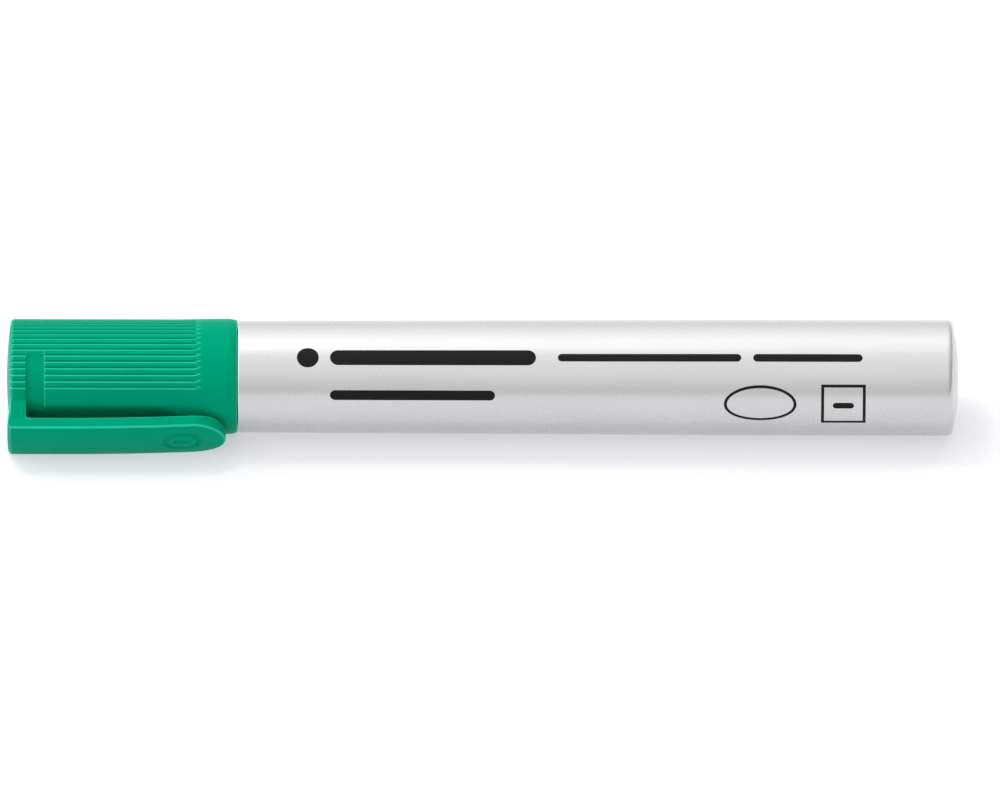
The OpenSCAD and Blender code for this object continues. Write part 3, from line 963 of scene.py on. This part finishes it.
def printed(name, patches):
    """A thin raised film of ink that follows the barrel.

    Each patch is a grid (rows, columns, 2) of [s, distance up round the barrel from the line that
    faces the camera]. The patches of one name become one piece.
    """
    points, faces = [], []
    for patch in patches:
        rows, columns = patch.shape[:2]
        s, up = patch[..., 0], patch[..., 1]
        first = len(points)
        for height in (INK_HEIGHT, -INK_DEPTH):
            radius = barrel_radius(s) + height
            turn = VIEW_TURN + np.degrees(up / REAR_R)
            points.extend(turned(s, radius, turn).reshape(-1, 3).tolist())
        count = rows * columns
        quads = grid_faces(rows, columns, False, False)
        faces.extend([[first + i for i in q] for q in quads])
        faces.extend([[first + count + i for i in reversed(q)] for q in quads])
        index = np.arange(count).reshape(rows, columns)
        rim = np.concatenate([index[0], index[1:, -1], index[-1, -2::-1], index[-2:0:-1, 0]])
        rim = first + rim
        for a, b in zip(rim.tolist(), np.roll(rim, -1).tolist()):
            faces.append([b, a, count + a, count + b])
    obj = piece(name, points, faces, INK, sharp=60, weld=0.0001)
    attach(obj, "root")
    return obj


def bar(first_s, last_s, middle, height):
    """A bar with round ends, as one patch."""
    r = height / 2
    left_s = first_s + r * (1 - np.sin(np.radians(np.linspace(90, 0, 9))))
    right_s = last_s - (left_s - first_s)[::-1]
    s = np.concatenate([left_s, np.arange(left_s[-1] + 0.5, right_s[0] - 0.25, 0.5), right_s])
    inset = np.maximum(np.maximum(first_s + r - s, s - (last_s - r)), 0)
    half = np.sqrt(np.maximum(r**2 - inset**2, (0.02 * r) ** 2))
    up = middle + half[:, None] * np.linspace(-1, 1, 9)
    return np.stack([np.broadcast_to(s[:, None], up.shape), up], axis=-1)


def closed_line(points, width):
    """A line of even width round the corners [s, up], as patches that meet in mitres."""
    points = np.array(points, float)
    following = np.roll(points, -1, axis=0) - points
    following = following / np.linalg.norm(following, axis=1, keepdims=True)
    sides = np.stack([-following[:, 1], following[:, 0]], axis=1)
    before = np.roll(sides, 1, axis=0)
    mitres = before + sides
    mitres = mitres / np.sum(mitres * before, axis=1, keepdims=True)
    patches = []
    for i, j in zip(range(len(points)), np.roll(range(len(points)), -1)):
        steps = max(2, int(np.linalg.norm(points[j] - points[i]) / 0.4) + 1)
        share = np.linspace(0, 1, steps)[:, None]
        edges = []
        for side in (-width / 2, width / 2):
            a, b = points[i] + mitres[i] * side, points[j] + mitres[j] * side
            edges.append(a + (b - a) * share)
        patches.append(np.stack(edges, axis=1))
    return patches


def oval_ring(middle_s, middle, half_len, half_height, width):
    """An oval ring of even width, as one patch."""
    t = np.radians(np.linspace(0, 360, 97))
    circle = np.stack([np.cos(t), np.sin(t)], axis=1)
    outer = circle * [half_len, half_height]
    inner = circle * [half_len - width, half_height - width]
    share = np.linspace(0, 1, 4)[None, :, None]
    ring = outer[:, None, :] + (inner - outer)[:, None, :] * share
    return [ring + np.array([middle_s, middle])]


def make_print():
    """Bars stand in the places of printed words, and plain signs in the places of the marks."""
    high, low = 2.85, -2.75
    printed("print_long_bar", [bar(45.9, 75.1, high, 2.3)])
    printed("print_thin_bars", [bar(78.2, 104.2, high, 1.15), bar(105.9, 121.4, high, 1.15)])
    printed("print_short_bar", [bar(45.9, 69.3, low, 1.5)])
    printed("print_dot", [bar(41.2, 44.3, high, 3.0)])
    printed("print_oval_ring", oval_ring(106.9, -3.95, 5.15, 2.85, 0.42))
    side, half_bar = 2.95, 1.5
    middle_s, middle = 118.7, -4.15
    corners = [(-side, -side), (side, -side), (side, side), (-side, side)]
    square = closed_line([(middle_s + a, middle + b) for a, b in corners], 0.42)
    middle_bar = bar(middle_s - half_bar, middle_s + half_bar, middle, 0.9)
    printed("print_square_sign", square + [middle_bar])


# ---------------------------------------------------------------------------------------------
# Stage: floor, light, camera
# ---------------------------------------------------------------------------------------------

VIEW_ELEVATION = 35.5
VIEW_DISTANCE = 4.5
VIEW_WIDTH = 0.142


def make_floor():
    # Just under the marker, so that the two never share a plane
    size, gap = 20.0, 0.00001
    corners = [(-size, -size, 0), (size, -size, 0), (size, size, 0), (-size, size, 0)]
    floor = piece("floor", corners, [[0, 1, 2, 3]], white_table())
    floor.location.z = cad_box[0].z - gap


def area_light(name, azimuth, elevation, distance, size, power):
    """A round light that looks at the marker. Azimuth 0 is over the camera, 90 to the right."""
    a, e = math.radians(azimuth), math.radians(elevation)
    way = Vector((math.sin(a) * math.cos(e), -math.cos(a) * math.cos(e), math.sin(e)))
    data = bpy.data.lights.new(name, "AREA")
    data.shape, data.size, data.energy = "DISK", size, power
    light = bpy.data.objects.new(name, data)
    bpy.context.scene.collection.objects.link(light)
    light.location = way * distance
    light.rotation_mode = "QUATERNION"
    light.rotation_quaternion = way.to_track_quat("Z", "Y")


# How bright the studio is at angles from the horizon in front, up over the marker, to the horizon
# behind
SKY_LEVELS = {0: 0.7, 40: 1.1, 80: 1.2, 120: 1.6, 180: 0.9}
# The share by which the sky is brighter on the left than overhead, and darker on the right
SKY_LEAN = 0.6
KEY_POWER = 6


def make_sky():
    """A soft studio sky that is brightest a little behind overhead, and brighter on the left."""
    world = bpy.data.worlds.new("studio")
    bpy.context.scene.world = world
    world.use_nodes = True
    tree = world.node_tree
    tree.nodes.clear()
    split = tree.nodes.new("ShaderNodeSeparateXYZ")
    tree.links.new(tree.nodes.new("ShaderNodeTexCoord").outputs["Generated"], split.inputs[0])
    back = tree.nodes.new("ShaderNodeMath")
    back.operation = "ARCTAN2"
    tree.links.new(split.outputs["Y"], back.inputs[0])
    tree.links.new(split.outputs["Z"], back.inputs[1])
    # The angle runs from -90 degrees in front to 90 degrees behind
    share = tree.nodes.new("ShaderNodeMapRange")
    share.inputs["From Min"].default_value = -math.pi / 2
    share.inputs["From Max"].default_value = math.pi / 2
    tree.links.new(back.outputs[0], share.inputs["Value"])
    ramp = tree.nodes.new("ShaderNodeValToRGB")
    elements = ramp.color_ramp.elements
    while len(elements) < len(SKY_LEVELS):
        elements.new(0.5)
    top = max(SKY_LEVELS.values())
    for element, (angle, level) in zip(elements, SKY_LEVELS.items()):
        element.position = angle / 180
        element.color = (level / top, level / top, level / top, 1)
    tree.links.new(share.outputs["Result"], ramp.inputs["Fac"])
    background = tree.nodes.new("ShaderNodeBackground")
    side = tree.nodes.new("ShaderNodeMapRange")
    side.inputs["From Min"].default_value = -1
    side.inputs["To Min"].default_value = top * (1 + SKY_LEAN)
    side.inputs["To Max"].default_value = top * (1 - SKY_LEAN)
    tree.links.new(split.outputs["X"], side.inputs["Value"])
    tree.links.new(side.outputs["Result"], background.inputs["Strength"])
    tree.links.new(ramp.outputs["Color"], background.inputs["Color"])
    output = tree.nodes.new("ShaderNodeOutputWorld")
    tree.links.new(background.outputs[0], output.inputs["Surface"])


def make_lights():
    make_sky()
    area_light("key", azimuth=-122, elevation=68, distance=1.6, size=0.4, power=KEY_POWER)


def make_camera():
    """A long lens at the photograph's angle. The marker sits a little left of and above centre."""
    e = math.radians(VIEW_ELEVATION)
    back = Vector((0, -math.cos(e), math.sin(e)))
    up = Vector((0, math.sin(e), math.cos(e)))
    middle = Vector((START + TOTAL * MM / 2, AXIS_Y, AXIS_Z))
    right_mm, down_mm, roll = 2.51, 3.27, 0.12
    data = bpy.data.cameras.new("camera")
    data.sensor_width = 36
    data.lens = data.sensor_width * VIEW_DISTANCE / VIEW_WIDTH
    data.clip_start, data.clip_end = 0.05, 20
    camera = bpy.data.objects.new("camera", data)
    bpy.context.scene.collection.objects.link(camera)
    camera.location = middle + back * VIEW_DISTANCE + Vector((right_mm * MM, 0, 0)) - up * down_mm * MM
    turn = Matrix((Vector((1, 0, 0)), up, back)).transposed()
    camera.rotation_mode = "QUATERNION"
    camera.rotation_quaternion = (turn @ Matrix.Rotation(math.radians(roll), 3, "Z")).to_quaternion()
    bpy.context.scene.camera = camera
    bpy.context.scene.view_settings.view_transform = "Standard"


make_barrel()
make_rear_plug()
make_nib_holder()
make_nib()
finish_reservoir()
make_cap()
make_inner_cap()
make_clip()
make_print()
make_floor()
make_lights()
make_camera()
